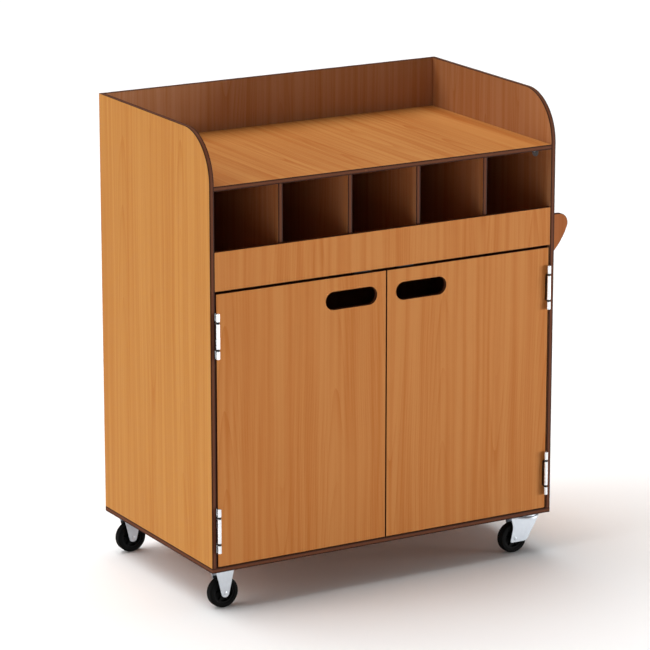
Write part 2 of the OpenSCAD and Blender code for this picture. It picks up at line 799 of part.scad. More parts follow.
module swivel_fork() difference() {
    union() {
        translate([0, 0, crown_bottom]) cylinder(r = crown_r, h = crown_t);
        board([-caster_trail - cheek_top_aft, -cheek_out, crown_bottom],
              [caster_trail + cheek_top_aft, 2 * cheek_out, plate_t]);
        for (y = [-cheek_out, cheek_in])
            translate([0, y, 0]) upright(plate_t) union() {
                swivel_cheek_outline();
                translate([-caster_trail - cheek_top_aft, crown_bottom])
                    square([caster_trail + cheek_top_aft + crown_r - 6, 1]);
            }
    }
    ball_race_groove();
    translate([0, 0, crown_bottom - 1]) cylinder(r = kingpin_d / 2 + fit, h = crown_t + 2);
    axle_hole(-caster_trail);
}

tyre_in_r = wheel_r - 11;
module tyre(x) translate([x, 0, axle_z]) aim("+y") rotate_extrude($fn = 96)
    polygon(rounded([[tyre_in_r, -wheel_w / 2, 1], [wheel_r, -wheel_w / 2, 4],
                     [wheel_r, wheel_w / 2, 4], [tyre_in_r, wheel_w / 2, 1]]));

hub_rim_w = wheel_w - 3;
hub_rim_t = 4;
hub_web_t = 6;
hub_boss_r = 9;
hub_ribs = 6;
hub_rib_t = 3;

module hub(x) translate([x, 0, axle_z]) aim("+y") difference() {
    union() {
        translate([0, 0, -hub_rim_w / 2]) difference() {
            cylinder(r = tyre_in_r, h = hub_rim_w, $fn = 96);
            translate([0, 0, -1]) cylinder(r = tyre_in_r - hub_rim_t, h = hub_rim_w + 2);
        }
        translate([0, 0, -hub_web_t / 2]) cylinder(r = tyre_in_r - hub_rim_t / 2, h = hub_web_t);
        translate([0, 0, -hub_l / 2]) cylinder(r = hub_boss_r, h = hub_l);
        for (i = [0 : hub_ribs - 1])
            rotate([0, 0, 360 * i / hub_ribs])
                board([hub_boss_r - 2, -hub_rib_t / 2, -hub_rim_w / 2 + 2],
                      [tyre_in_r - hub_rim_t - hub_boss_r + 4, hub_rib_t, hub_rim_w - 4]);
    }
    translate([0, 0, -hub_l]) cylinder(d = axle_bore_d, h = 2 * hub_l);
}

module at_front_left() translate([caster_inset_x, caster_inset_y, 0]) children();
module at_rear_left() translate([caster_inset_x, cab_d - caster_inset_y, 0]) children();
module at_front_right() translate([cab_w - caster_inset_x, caster_inset_y, 0]) children();
module at_rear_right() translate([cab_w - caster_inset_x, cab_d - caster_inset_y, 0]) children();

module front_left_rigid_fork() color(zinc_colour) in_cabinet() at_front_left() rigid_fork();
module rear_left_rigid_fork() color(zinc_colour) in_cabinet() at_rear_left() rigid_fork();
module rigid_axles() color(zinc_colour) in_cabinet() {
    at_front_left() axle(0);
    at_rear_left() axle(0);
}

module front_right_top_plate() color(zinc_colour) in_cabinet() at_front_right() top_plate();
module rear_right_top_plate() color(zinc_colour) in_cabinet() at_rear_right() top_plate();
module swivel_kingpins() color(zinc_colour) in_cabinet() {
    at_front_right() kingpin();
    at_rear_right() kingpin();
}
module race_balls() color(bright_colour) in_cabinet() {
    at_front_right() balls();
    at_rear_right() balls();
}

module front_right_swivel_fork() color(zinc_colour) in_cabinet() at_front_right() swivel_fork();
module rear_right_swivel_fork() color(zinc_colour) in_cabinet() at_rear_right() swivel_fork();
module front_right_axle() color(zinc_colour) in_cabinet() at_front_right() axle(-caster_trail);
module rear_right_axle() color(zinc_colour) in_cabinet() at_rear_right() axle(-caster_trail);

module front_left_tyre() color(black_colour) in_cabinet() at_front_left() tyre(0);
module rear_left_tyre() color(black_colour) in_cabinet() at_rear_left() tyre(0);
module front_right_tyre() color(black_colour) in_cabinet() at_front_right() tyre(-caster_trail);
module rear_right_tyre() color(black_colour) in_cabinet() at_rear_right() tyre(-caster_trail);

module front_left_hub() color(black_colour) in_cabinet() at_front_left() hub(0);
module rear_left_hub() color(black_colour) in_cabinet() at_rear_left() hub(0);
module front_right_hub() color(black_colour) in_cabinet() at_front_right() hub(-caster_trail);
module rear_right_hub() color(black_colour) in_cabinet() at_rear_right() hub(-caster_trail);

module caster_screws() color(bright_colour) in_cabinet() caster_screw_set();

base_panel();
left_side_panel();
right_side_panel();
back_panel();
countertop();
bin_floor();
apron();
bin_divider_1();
bin_divider_2();
bin_divider_3();
bin_divider_4();
shelf();
shelf_pins();
panel_dowels();
counter_brackets();
fitting_screws();
handle_cheek_front();
handle_cheek_rear();
handle_bar();
handle_screws();
door_catches();
left_upper_frame_leaf();
left_lower_frame_leaf();
right_upper_frame_leaf();
right_lower_frame_leaf();
hinge_bushes();
left_door();
left_upper_door_leaf();
left_lower_door_leaf();
left_upper_hinge_pin();
left_lower_hinge_pin();
left_door_screws();
left_strike_plate();
right_door();
right_upper_door_leaf();
right_lower_door_leaf();
right_upper_hinge_pin();
right_lower_hinge_pin();
right_door_screws();
right_strike_plate();
front_left_rigid_fork();
rear_left_rigid_fork();
rigid_axles();
front_right_top_plate();
rear_right_top_plate();
swivel_kingpins();
race_balls();
front_right_swivel_fork();
rear_right_swivel_fork();
front_right_axle();
rear_right_axle();
front_left_tyre();
rear_left_tyre();
front_right_tyre();
rear_right_tyre();
front_left_hub();
rear_left_hub();
front_right_hub();
rear_right_hub();
caster_screws();
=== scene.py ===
"""Counter cabinet on casters: its looks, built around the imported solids.

Lengths are in millimetres of the shared frame, whose origin is on the ground under the middle of the
cabinet with its handle and hinges: X runs towards the handle, Y to the rear and Z up. Meshes go to metres
as they are finished. Boards take their places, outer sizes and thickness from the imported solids.
"""

import json
import math

import bmesh
import bpy
from mathutils import Matrix, Vector

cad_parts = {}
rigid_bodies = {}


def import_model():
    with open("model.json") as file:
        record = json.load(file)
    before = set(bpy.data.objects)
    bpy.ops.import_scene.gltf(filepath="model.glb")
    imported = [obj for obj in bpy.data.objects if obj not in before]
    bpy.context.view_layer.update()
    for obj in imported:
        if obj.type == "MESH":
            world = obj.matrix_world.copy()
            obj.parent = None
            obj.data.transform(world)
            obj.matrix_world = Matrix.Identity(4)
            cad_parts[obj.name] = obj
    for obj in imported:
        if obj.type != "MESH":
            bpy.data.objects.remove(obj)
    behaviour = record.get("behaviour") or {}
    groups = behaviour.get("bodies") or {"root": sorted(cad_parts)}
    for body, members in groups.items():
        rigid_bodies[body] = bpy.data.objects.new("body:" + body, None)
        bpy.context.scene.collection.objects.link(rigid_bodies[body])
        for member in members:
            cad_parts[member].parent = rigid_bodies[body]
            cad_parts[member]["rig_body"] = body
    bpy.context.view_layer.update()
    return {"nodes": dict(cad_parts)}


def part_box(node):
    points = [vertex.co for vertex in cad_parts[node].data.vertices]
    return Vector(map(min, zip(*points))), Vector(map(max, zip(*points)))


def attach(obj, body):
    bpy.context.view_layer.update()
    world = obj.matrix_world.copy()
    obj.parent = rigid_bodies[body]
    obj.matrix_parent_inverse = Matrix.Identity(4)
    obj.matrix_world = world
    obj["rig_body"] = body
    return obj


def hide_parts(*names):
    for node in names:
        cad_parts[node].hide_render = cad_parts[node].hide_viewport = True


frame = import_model()
nodes = frame["nodes"]

MM = 0.001  # metres in a millimetre
CORNER_R = 120.0  # round front top corner of the sides

# Hinges: length, distance of the upper one from the door's top and of the lower one from its foot, and the
# ends of the middle knuckle, measured up from the hinge's lower end
HINGE_L = 109.0
HINGE_DROP = 45.0
HINGE_RISE = 36.0
KNUCKLE_LOW = 24.5
KNUCKLE_HIGH = 84.5

# Notch in the door behind a middle knuckle: how far it goes past the knuckle's ends, depth and chamfer
NOTCH_OVER = 3.6
NOTCH_D = 8.0
NOTCH_CHAMFER = 4.0

# Hand slot: its size, and how far it is from the door's meeting edge and from its top
SLOT_W = 140.0
SLOT_H = 44.0
SLOT_INSET = 25.0
SLOT_DROP = 34.0

# Handle cheek: how far it stands out, and the radii of its nose and of its lower edge
CHEEK_REACH = 86.0
NOSE_R = 25.0
BELLY_R = 180.0

# Steel poles of the catches: length, depth, thickness, how far they stand out of the mouth, and how high
# they are as shares of the catch's height
POLE_L = 28.0
POLE_D = 6.0
POLE_T = 1.6
POLE_PROUD = 0.1
POLE_HEIGHTS = (0.18, 0.46)

# Cross recess of a screw: turn in degrees, then length, width and twice the depth as shares of the head's
# radius. Two arms cross, and a block turned between them deepens the middle
RECESS = [(0, 1.1, 0.26, 0.5), (90, 1.1, 0.26, 0.5), (45, 0.45, 0.45, 0.8)]


# ---- materials ----------------------------------------------------------------------------------


def linear(code):
    """An sRGB hex colour as Blender's linear RGBA."""
    parts = [int(code[i : i + 2], 16) / 255 for i in (1, 3, 5)]
    return (*[p / 12.92 if p <= 0.04045 else ((p + 0.055) / 1.055) ** 2.4 for p in parts], 1.0)


def add(tree, kind, inputs=(), stops=(), **settings):
    """Adds a node. Inputs are values, sockets or nodes, in order or by name; a ramp's stops are places
    with hex colours, from the lowest to the highest."""
    node = tree.nodes.new("ShaderNode" + kind)
    for key, value in settings.items():
        setattr(node, key, value)
    pairs = inputs.items() if isinstance(inputs, dict) else enumerate(inputs)
    for key, value in pairs:
        value = value.outputs[0] if isinstance(value, bpy.types.Node) else value
        if isinstance(value, bpy.types.NodeSocket):
            tree.links.new(value, node.inputs[key])
        else:
            node.inputs[key].default_value = value
    for i, (place, colour) in enumerate(stops):
        elements = node.color_ramp.elements
        element = elements[i] if i < len(elements) else elements.new(1.0)
        element.position = place
        element.color = linear(colour)
    return node


def material(name, **sockets):
    """A new material with its shader's own sockets set; returns it with its tree and shader."""
    made = bpy.data.materials.new(name)
    made.use_nodes = True
    shader = made.node_tree.nodes["Principled BSDF"]
    for key, value in sockets.items():
        shader.inputs[key.replace("_", " ")].default_value = value
    return made, made.node_tree, shader


def millimetres(tree):
    """Rest coordinates of the piece, in millimetres."""
    metres = add(tree, "TexCoord").outputs["Object"]
    return add(tree, "VectorMath", [metres, (1 / MM,) * 3], operation="MULTIPLY")


def beech_laminate(name, across, along, start, tones):
    """Melamine-faced board with a printed beech pattern, satin. It gives the eye warm wood whose gloss
    stays even and dull, because the wood is only printed under the resin. Start picks the stretch of
    the print, so that boards of different kinds don't show the same one."""
    made, tree, shader = material("beech_laminate_" + name, Roughness=0.5, IOR=1.5, Specular_IOR_Level=0.08)
    axes = add(tree, "SeparateXYZ", [millimetres(tree)]).outputs
    through = next(axis for axis in "XYZ" if axis not in across + along)
    # The third way through the print: boards 100 mm apart show another stretch of it, and the two faces
    # of one board differ a little
    depth = add(tree, "Math", [axes[through], 0.012, start], operation="MULTIPLY_ADD")
    sheet = add(tree, "CombineXYZ", [axes[across], axes[along], depth])

    def marks(width, length, detail, source):
        """Soft marks of the print, width by length millimetres."""
        spot = add(tree, "Mapping", {"Vector": source, "Scale": (1 / width, 1 / length, 1)})
        return add(tree, "TexNoise", {"Vector": spot, "Scale": 1.0, "Detail": detail, "Roughness": 0.6})

    # Upright streaks 14 and 4 mm wide, which lean a few millimetres to and fro
    sway = add(tree, "Math", [marks(120, 500, 1.0, sheet), 18.0, axes[across]], operation="MULTIPLY_ADD")
    swayed = add(tree, "CombineXYZ", [sway, axes[along], depth])
    broad = marks(14, 1300, 1.0, swayed)
    narrow = marks(4, 700, 2.0, swayed)
    tone = add(tree, "Math", [narrow, 0.45, broad], operation="MULTIPLY_ADD")

    # Pore lines: real ones are about 0.1 mm wide; these are drawn 1.2 mm wide, so that they show
    pores = marks(1.2, 60, 2.0, swayed)
    tone = add(tree, "Math", [pores, 0.12, tone], operation="MULTIPLY_ADD")

    # Heart grain: tall thin arches whose tips follow each other every 200 mm, in patches of the board.
    # The rows of arches stand 150 mm apart, tips up and tips down in turn
    row = add(tree, "Math", [sway, math.pi / 150, start], operation="MULTIPLY_ADD")
    wave = add(tree, "Math", [row], operation="SINE")
    rise = add(tree, "Math", [axes[along], 1 / 200, marks(70, 400, 2.0, sheet)], operation="MULTIPLY_ADD")
    ring = add(tree, "Math", [wave, 8.0, rise], operation="MULTIPLY_ADD")
    saw = add(tree, "Math", [ring], operation="FRACT")
    late = add(tree, "Math", [saw, 4.0], operation="POWER")
    where = add(tree, "MapRange", {0: marks(110, 480, 1.0, sheet), 1: 0.42, 2: 0.6})
    heart = add(tree, "Math", [late, where], operation="MULTIPLY")
    tone = add(tree, "Math", [heart, -0.31, tone], operation="MULTIPLY_ADD")

    # Fleck: real dashes are 0.4 by 3 mm; these are drawn coarser, 1.4 by 10 mm, so that they show
    dash = add(tree, "Mapping", {"Vector": sheet, "Scale": (1 / 2.4, 1 / 17, 1)})
    cells = add(tree, "TexVoronoi", {"Vector": dash, "Scale": 1.0})
    fleck = add(tree, "MapRange", {0: cells, 1: 0.3, 2: 0.08})
    tone = add(tree, "Math", [fleck, -0.05, tone], operation="MULTIPLY_ADD")

    colour = add(tree, "ValToRGB", [tone], stops=tones)
    tree.links.new(colour.outputs[0], shader.inputs["Base Color"])
    relief = add(tree, "Bump", {"Height": tone, "Strength": 0.12, "Distance": 0.2 * MM})
    tree.links.new(relief.outputs[0], shader.inputs["Normal"])
    return made


def pressed_core():
    """Sawn edge of dense brown fibre board between dark resin-soaked sheets: a mid-brown middle with a
    darker line along each face. It gives the eye the thin dark outline round every board."""
    made, tree, shader = material("fibre_core_edge", Roughness=0.65, IOR=1.5, Specular_IOR_Level=0.08)
    # From 0 at the middle of the board to 1 at its faces
    offset = add(tree, "Attribute", attribute_name="across_board").outputs["Fac"]
    depth = add(tree, "Math", [offset], operation="ABSOLUTE")
    # Fibre bundles about 1.5 mm long
    fibres = add(tree, "TexNoise", {"Vector": millimetres(tree), "Scale": 0.7, "Detail": 3.0})
    depth = add(tree, "Math", [fibres, 0.12, depth], operation="MULTIPLY_ADD")
    layers = [(0.06, "#5F3724"), (0.5, "#57301C"), (0.76, "#341B11"), (1.0, "#2A130B")]
    colour = add(tree, "ValToRGB", [depth], stops=layers)
    tree.links.new(colour.outputs[0], shader.inputs["Base Color"])
    relief = add(tree, "Bump", {"Height": fibres, "Strength": 0.25, "Distance": 0.3 * MM})
    tree.links.new(relief.outputs[0], shader.inputs["Normal"])
    return made


def steel(name, light, dark, roughness, spread, patch):
    """Plated or polished steel, full metallic with the default IOR. Its finish is a little cloudy: spots
    as wide as patch, in millimetres, differ in roughness by spread either way, so that broad reflections
    break up a little."""
    made, tree, shader = material(name, Metallic=1.0)
    cloud = add(tree, "TexNoise", {"Vector": millimetres(tree), "Scale": 1.0 / patch, "Detail": 3.0})
    colour = add(tree, "ValToRGB", [cloud], stops=[(0.2, dark), (0.8, light)])
    tree.links.new(colour.outputs[0], shader.inputs["Base Color"])
    gloss = add(tree, "MapRange", [cloud, 0.2, 0.8, roughness - spread, roughness + spread])
    tree.links.new(gloss.outputs[0], shader.inputs["Roughness"])
    return made


def grained(name, light, dark, roughness, level, grain, relief_h):
    """Plastic, rubber or enamel with the fine even grain of its mould or its baking, which dulls the
    highlight. Grain and relief_h are its width and height in millimetres; the real grain is about 0.1 mm
    wide, and it is drawn coarser so that it shows close up."""
    made, tree, shader = material(name, Roughness=roughness, IOR=1.5, Specular_IOR_Level=level)
    spots = add(tree, "TexNoise", {"Vector": millimetres(tree), "Scale": 1.0 / grain, "Detail": 2.0})
    colour = add(tree, "ValToRGB", [spots], stops=[(0.35, dark), (0.65, light)])
    tree.links.new(colour.outputs[0], shader.inputs["Base Color"])
    relief = add(tree, "Bump", {"Height": spots, "Strength": 0.4, "Distance": relief_h * MM})
    tree.links.new(relief.outputs[0], shader.inputs["Normal"])
    return made


def turned_beech():
    """Solid beech, turned and lacquered: straight grain lines 3 mm apart along the bar and a soft lacquer
    sheen, so that the grip looks like wood right through."""
    made, tree, shader = material("lacquered_beech", Roughness=0.34, IOR=1.5, Specular_IOR_Level=0.4)
    spot = add(tree, "Mapping", {"Vector": millimetres(tree), "Scale": (1 / 3, 1 / 140, 1 / 3)})
    lines = add(tree, "TexNoise", {"Vector": spot, "Scale": 1.0, "Detail": 3.0})
    colour = add(tree, "ValToRGB", [lines], stops=[(0.3, "#9C5A2C"), (0.5, "#AD6C39"), (0.7, "#BC7F4A")])
    tree.links.new(colour.outputs[0], shader.inputs["Base Color"])
    return made


def streaks(dark, middle, light):
    """Tones of the print, from its dark streaks to its light ones."""
    return [(0.5, dark), (0.72, middle), (0.94, light)]


# The outer sides carry a yellower copy of the print than the doors: painted light, the warm key light of
# the left side, given to both outer sides. The inner sides, dividers and level boards carry a greyer copy,
# and the back's face a paler, greyer one: painted shade, for the shade they stand in. The counter has more
# contrast, and the handle cheeks' darker copy is painted shade, for the shade beside the cabinet
TAN = streaks("#A7642C", "#AD6D36", "#B2753E")
LIT_SIDE_TAN = streaks("#A86A2A", "#AD7333", "#B37B3A")
COUNTER_TAN = streaks("#A8642C", "#B07037", "#B87B40")
SHADED_CHEEK_TAN = streaks("#8A4C20", "#8F5227", "#94582D")
SHADED_GREY_TAN = streaks("#9D6237", "#A36B42", "#A8724C")
SHADED_BACK_TAN = streaks("#AB7549", "#B17E57", "#B78763")

# Painted light: the outer sides' yellower print stands in for the warm light from the left
SIDE = beech_laminate("side", "Y", "Z", 1.0, LIT_SIDE_TAN)
# Painted shade: the dividers and the inner sides take the greyer print
DIVIDER = beech_laminate("divider", "Y", "Z", 4.0, SHADED_GREY_TAN)
DOOR = beech_laminate("door", "X", "Z", 2.0, TAN)
APRON = beech_laminate("apron", "X", "Z", 3.0, TAN)
# Painted shade: the back's front face takes a paler, greyer print
BACK = beech_laminate("back", "X", "Z", 5.0, SHADED_BACK_TAN)
REAR = beech_laminate("rear", "X", "Z", 7.0, TAN)
COUNTER = beech_laminate("counter", "X", "Y", 6.0, COUNTER_TAN)
# Painted shade: the level boards take the same greyer print
LEVEL = beech_laminate("flat", "X", "Y", 9.0, SHADED_GREY_TAN)
# Painted shade: the handle cheeks take a darker print for the shade beside the cabinet
CHEEK = beech_laminate("cheek", "X", "Z", 8.0, SHADED_CHEEK_TAN)
CORE = pressed_core()
BEECH = turned_beech()

# Bright zinc on pressed steel: pale, with a broad soft gloss
ZINC = steel("zinc_plated_steel", "#C8CFD6", "#BFC6CE", roughness=0.42, spread=0.04, patch=9.0)
# Nickel on hinge steel: nearly white, with tighter reflections
NICKEL = steel("nickel_plated_steel", "#F2F5F7", "#E8ECEE", roughness=0.26, spread=0.03, patch=40.0)
# Zinc on small screws: brighter than the pressed steel, so that the heads read as separate dots
SCREW = steel("zinc_plated_screw", "#DDE0E4", "#C9CDD3", roughness=0.3, spread=0.08, patch=3.0)
# Hardened balls, polished: mirror-bright points in the dark race
BALL = steel("polished_ball_steel", "#E8EAEC", "#DADDE0", roughness=0.12, spread=0.03, patch=5.0)

# Stove enamel on the brackets: a soft grey that stays calm in the shade under the counter
ENAMEL = grained("grey_enamel", "#7E888D", "#737D82", roughness=0.4, level=0.5, grain=0.8, relief_h=0.02)
# Solid rubber tread: dull, almost no highlight
RUBBER = grained("black_rubber", "#080808", "#060606", roughness=0.62, level=0.05, grain=0.6, relief_h=0.05)
# Polypropylene wheel centre: a shade glossier than the tread, so that the spokes show
CENTRE = grained("black_polypropylene", "#0A0A0B", "#080808", roughness=0.5, level=0.08, grain=0.5,
                 relief_h=0.03)
# Nylon bushes: the dark rings between the bright knuckles
NYLON = grained("black_nylon", "#151515", "#0E0E0E", roughness=0.4, level=0.4, grain=0.4, relief_h=0.01)
# ABS of the catches: nearly black, so that the steel poles stand out
CATCH = grained("dark_abs", "#2B2B2D", "#242426", roughness=0.4, level=0.45, grain=0.7, relief_h=0.03)


# ---- outlines -----------------------------------------------------------------------------------


def arc(x, y, radius, start, end, steps):
    """Points from one angle to another, in degrees, on a circle round x, y."""
    angles = [math.radians(start + (end - start) * i / steps) for i in range(steps + 1)]
    return [(x + radius * math.cos(angle), y + radius * math.sin(angle)) for angle in angles]


# Each of these gives the outline of a board and of any hole in it, as lists of points, from the left,
# lower, right and upper limits of the board's solid, seen from the side that it faces


def rectangle(left, lower, right, upper):
    """A plain board."""
    return [[(left, lower), (right, lower), (right, upper), (left, upper)]]


def round_cornered_side(front, lower, rear, upper):
    """A side panel: square but for its large round front top corner."""
    corner = arc(front + CORNER_R, upper - CORNER_R, CORNER_R, 90, 180, 40)
    return [[(front, lower), (rear, lower), (rear, upper), *corner]]


def notched_door(left, lower, right, upper):
    """A door with a notch for each hinge's middle knuckle, and its hand slot, which has round ends. Its
    hinged edge is the one farther from the frame's origin."""
    meeting, hinged = sorted((left, right), key=abs)
    inwards = math.copysign(1, meeting - hinged)
    shallow = hinged + inwards * (NOTCH_D - NOTCH_CHAMFER)
    deep = hinged + inwards * NOTCH_D
    outline = [(meeting, lower), (meeting, upper), (hinged, upper)]
    for hinge in (upper - HINGE_DROP - HINGE_L, lower + HINGE_RISE):
        top = hinge + KNUCKLE_HIGH + NOTCH_OVER
        foot = hinge + KNUCKLE_LOW - NOTCH_OVER
        outline += [(hinged, top), (shallow, top), (deep, top - NOTCH_CHAMFER)]
        outline += [(deep, foot + NOTCH_CHAMFER), (shallow, foot), (hinged, foot)]
    outline.append((hinged, lower))

    end_r = SLOT_H / 2
    straight = SLOT_W / 2 - end_r
    x = meeting - inwards * (SLOT_INSET + SLOT_W / 2)
    z = upper - SLOT_DROP - end_r
    slot = arc(x + straight, z, end_r, -90, 90, 28) + arc(x - straight, z, end_r, 90, 270, 28)
    return [outline, slot]


def swept_cheek(panel, lower, _, upper):
    """A handle cheek: a round nose, and a lower edge in one large arc from the nose back to the panel.
    The facets of its solid end just short of its full reach, so that is a named value."""
    nose = Vector((CHEEK_REACH - NOSE_R, -NOSE_R))
    foot = Vector((0, lower - upper))
    # The large arc runs through the foot, and the nose's circle touches it from inside, so its centre is
    # BELLY_R from the foot and BELLY_R - NOSE_R from the nose's centre
    gap = foot - nose
    along = ((BELLY_R - NOSE_R) ** 2 - BELLY_R**2 + gap.length**2) / (2 * gap.length)
    across = math.sqrt((BELLY_R - NOSE_R) ** 2 - along**2)
    unit = gap.normalized()
    belly = nose + unit * along + Vector((unit.y, -unit.x)) * across
    touch = math.degrees(math.atan2(*(nose - belly).yx))
    end = math.degrees(math.atan2(*(foot - belly).yx))
    round_nose = reversed(arc(*nose, NOSE_R, touch, 90, 28))
    # The nose already holds the point where the two arcs touch
    lower_edge = arc(*belly, BELLY_R, touch, end, 40)[1:]
    return [[(panel + x, upper + z) for x, z in [(0, 0), *round_nose, *lower_edge]]]


# ---- making pieces ------------------------------------------------------------------------------

# A board is drawn flat and then turned to face right (X), the front (Y) or up (Z). These are the
# directions in the frame that its drawing's X, its drawing's Y and its upper face take
TURNS = {
    "X": ((0, 1, 0), (0, 0, 1), (1, 0, 0)),
    "Y": ((1, 0, 0), (0, 0, 1), (0, -1, 0)),
    "Z": ((1, 0, 0), (0, 1, 0), (0, 0, 1)),
}


SHARP = 30.0  # degrees; a fitting's edge that turns by more counts as an edge


def linked(name, data):
    """A new object of the scene."""
    made = bpy.data.objects.new(name, data)
    bpy.context.scene.collection.objects.link(made)
    return made


def smooth(mesh, angle):
    """Shades a mesh round, but for edges that are sharper than angle degrees."""
    mesh.shade_smooth()
    mesh.set_sharp_from_angle(angle=math.radians(angle))


def as_mesh(drawn):
    """The mesh that an object shows, as a mesh of its own."""
    bpy.context.view_layer.update()
    return bpy.data.meshes.new_from_object(drawn.evaluated_get(bpy.context.evaluated_depsgraph_get()))


def clean(mesh, nearest, flat):
    """Joins vertices nearer than nearest, and faces that lie within flat degrees of one plane."""
    shape = bmesh.new()
    shape.from_mesh(mesh)
    bmesh.ops.remove_doubles(shape, verts=shape.verts, dist=nearest)
    bmesh.ops.dissolve_limit(shape, angle_limit=math.radians(flat), verts=shape.verts, edges=shape.edges)
    bmesh.ops.recalc_face_normals(shape, faces=shape.faces)
    shape.to_mesh(mesh)
    shape.free()


def extruded(name, loops, thickness, arris):
    """A flat shape with holes, in millimetres, centred on its drawing plane, its edges eased by arris."""
    curve = bpy.data.curves.new(name, "CURVE")
    curve.dimensions = "2D"
    curve.fill_mode = "BOTH"
    curve.extrude = thickness / 2 - arris
    curve.bevel_depth = arris
    curve.bevel_resolution = 1
    curve.offset = -arris
    for loop in loops:
        spline = curve.splines.new("POLY")
        spline.points.add(len(loop) - 1)
        for point, (x, y) in zip(spline.points, loop):
            point.co = (x, y, 0, 1)
        spline.use_cyclic_u = True
    drawn = linked(name, curve)
    mesh = as_mesh(drawn)
    bpy.data.objects.remove(drawn)
    clean(mesh, nearest=0.01, flat=0.5)
    return mesh


def stand_for(node, ending, mesh):
    """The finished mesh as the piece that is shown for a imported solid, on the solid's own body."""
    piece = linked(node + ending, mesh)
    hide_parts(node)
    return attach(piece, nodes[node]["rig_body"])


def laminate_board(node, face, outlines, finish, low_finish=None, arris=0.5):
    """A board that faces right (X), the front (Y) or up (Z): printed faces, the left, rear or lower one in
    low_finish if that is given, and a core edge that knows how far it is from the middle of the board."""
    low, high = [[round(part / MM, 3) for part in corner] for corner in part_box(node)]
    through = "XYZ".index(face)
    across, up = [axis for axis in range(3) if axis != through]
    thickness = high[through] - low[through]
    mesh = extruded(node, outlines(low[across], low[up], high[across], high[up]), thickness, arris)
    for layer in (finish, CORE, low_finish or finish):
        mesh.materials.append(layer)
    offset = mesh.attributes.new("across_board", "FLOAT", "POINT")
    for vertex in mesh.vertices:
        offset.data[vertex.index].value = vertex.co.z / (thickness / 2)
    for side in mesh.polygons:
        side.material_index = 0 if side.normal.z > 0.99 else 2 if side.normal.z < -0.99 else 1
    middle = Vector((0, 0, 0))
    middle[through] = (low[through] + high[through]) / 2
    turn = Matrix(TURNS[face]).transposed().to_4x4()
    mesh.transform(Matrix.Scale(MM, 4) @ Matrix.Translation(middle) @ turn)
    # The eased edges turn in steps of 30 degrees and are shaded round; the printed faces stay dead flat
    smooth(mesh, 35)
    for side in mesh.polygons:
        side.use_smooth = side.material_index == 1
    return stand_for(node, "_faced", mesh)


def eased_copy(node, finish, width):
    """A solid's own shape with its sharp edges eased by width millimetres."""
    mesh = nodes[node].data.copy()
    mesh.materials.clear()
    mesh.materials.append(finish)
    clean(mesh, nearest=0.002 * MM, flat=1.0)
    smooth(mesh, SHARP)
    piece = stand_for(node, "_eased", mesh)
    bevel = piece.modifiers.new("eased_edges", "BEVEL")
    bevel.width = width * MM
    bevel.segments = 2
    bevel.limit_method = "ANGLE"
    bevel.angle_limit = math.radians(SHARP)
    bevel.use_clamp_overlap = True
    bevel.harden_normals = True
    return piece


def separate_solids(mesh):
    """The vertex places of each solid that a mesh holds, from the leftmost solid to the rightmost."""
    shape = bmesh.new()
    shape.from_mesh(mesh)
    bmesh.ops.remove_doubles(shape, verts=shape.verts, dist=0.002 * MM)
    seen = set()
    solids = []
    for first in shape.verts:
        if first in seen:
            continue
        seen.add(first)
        reached = [first]
        for vertex in reached:
            for other in [edge.other_vert(vertex) for edge in vertex.link_edges]:
                if other not in seen:
                    seen.add(other)
                    reached.append(other)
        solids.append([vertex.co.copy() for vertex in reached])
    shape.free()
    return sorted(solids, key=lambda places: min(place.x for place in places))


def limits(places):
    """Lowest and highest corner of the box round some places."""
    return [Vector([pick(place[i] for place in places) for i in range(3)]) for pick in (min, max)]


def screw_head(places):
    """Centre of a screw's head, the direction it faces and its radius, from the screw's vertex places."""
    low, high = limits(places)
    size = high - low
    middle = (low + high) / 2
    axis = max(range(3), key=lambda i: size[i])
    rim = max(places, key=lambda place: (place - middle).length_squared - (place - middle)[axis] ** 2)
    facing = Vector((0, 0, 0))
    facing[axis] = 1 if rim[axis] > middle[axis] else -1
    radius = min(size[(axis + 1) % 3], size[(axis + 2) % 3]) / 2
    return middle + facing * size[axis] / 2, facing, radius


def blocks(name, places):
    """A mesh of blocks, each a unit cube put in its place by a matrix."""
    shape = bmesh.new()
    for place in places:
        bmesh.ops.create_cube(shape, size=1.0, matrix=place)
    mesh = bpy.data.meshes.new(name)
    shape.to_mesh(mesh)
    shape.free()
    return mesh


def cross_recessed(node):
    """A node's screws with a cross recess sunk in each head."""
    recesses = []
    for places in separate_solids(nodes[node].data):
        top, facing, radius = screw_head(places)
        turn = Matrix.Translation(top) @ facing.to_track_quat("Z", "Y").to_matrix().to_4x4()
        for angle, *shares in RECESS:
            spin = Matrix.Rotation(math.radians(angle), 4, "Z")
            scale = Matrix.Diagonal((*[share * radius for share in shares], 1))
            recesses.append(turn @ spin @ scale)
    cutter = linked("recesses", blocks("recesses", recesses))
    whole = linked(node, nodes[node].data.copy())
    cut = whole.modifiers.new("recess", "BOOLEAN")
    cut.object = cutter
    cut.operation = "DIFFERENCE"
    cut.solver = "EXACT"
    cut.use_self = True
    mesh = as_mesh(whole)
    for helper in (cutter, whole):
        bpy.data.objects.remove(helper)
    mesh.materials.clear()
    mesh.materials.append(SCREW)
    smooth(mesh, SHARP)
    return stand_for(node, "_recessed", mesh)


def catch_poles(side, places):
    """Steel poles above and below a catch's magnet, low in its mouth and a little proud of it."""
    low, high = limits(places)
    scale = Matrix.Diagonal((POLE_L * MM, POLE_D * MM, POLE_T * MM, 1))
    x = (low.x + high.x) / 2
    y = low.y + (POLE_D / 2 - POLE_PROUD) * MM
    levels = [low.z + share * (high.z - low.z) for share in POLE_HEIGHTS]
    mesh = blocks(side + "_catch_poles", [Matrix.Translation((x, y, z)) @ scale for z in levels])
    mesh.materials.append(ZINC)
    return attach(linked(side + "_catch_poles", mesh), "cabinet")
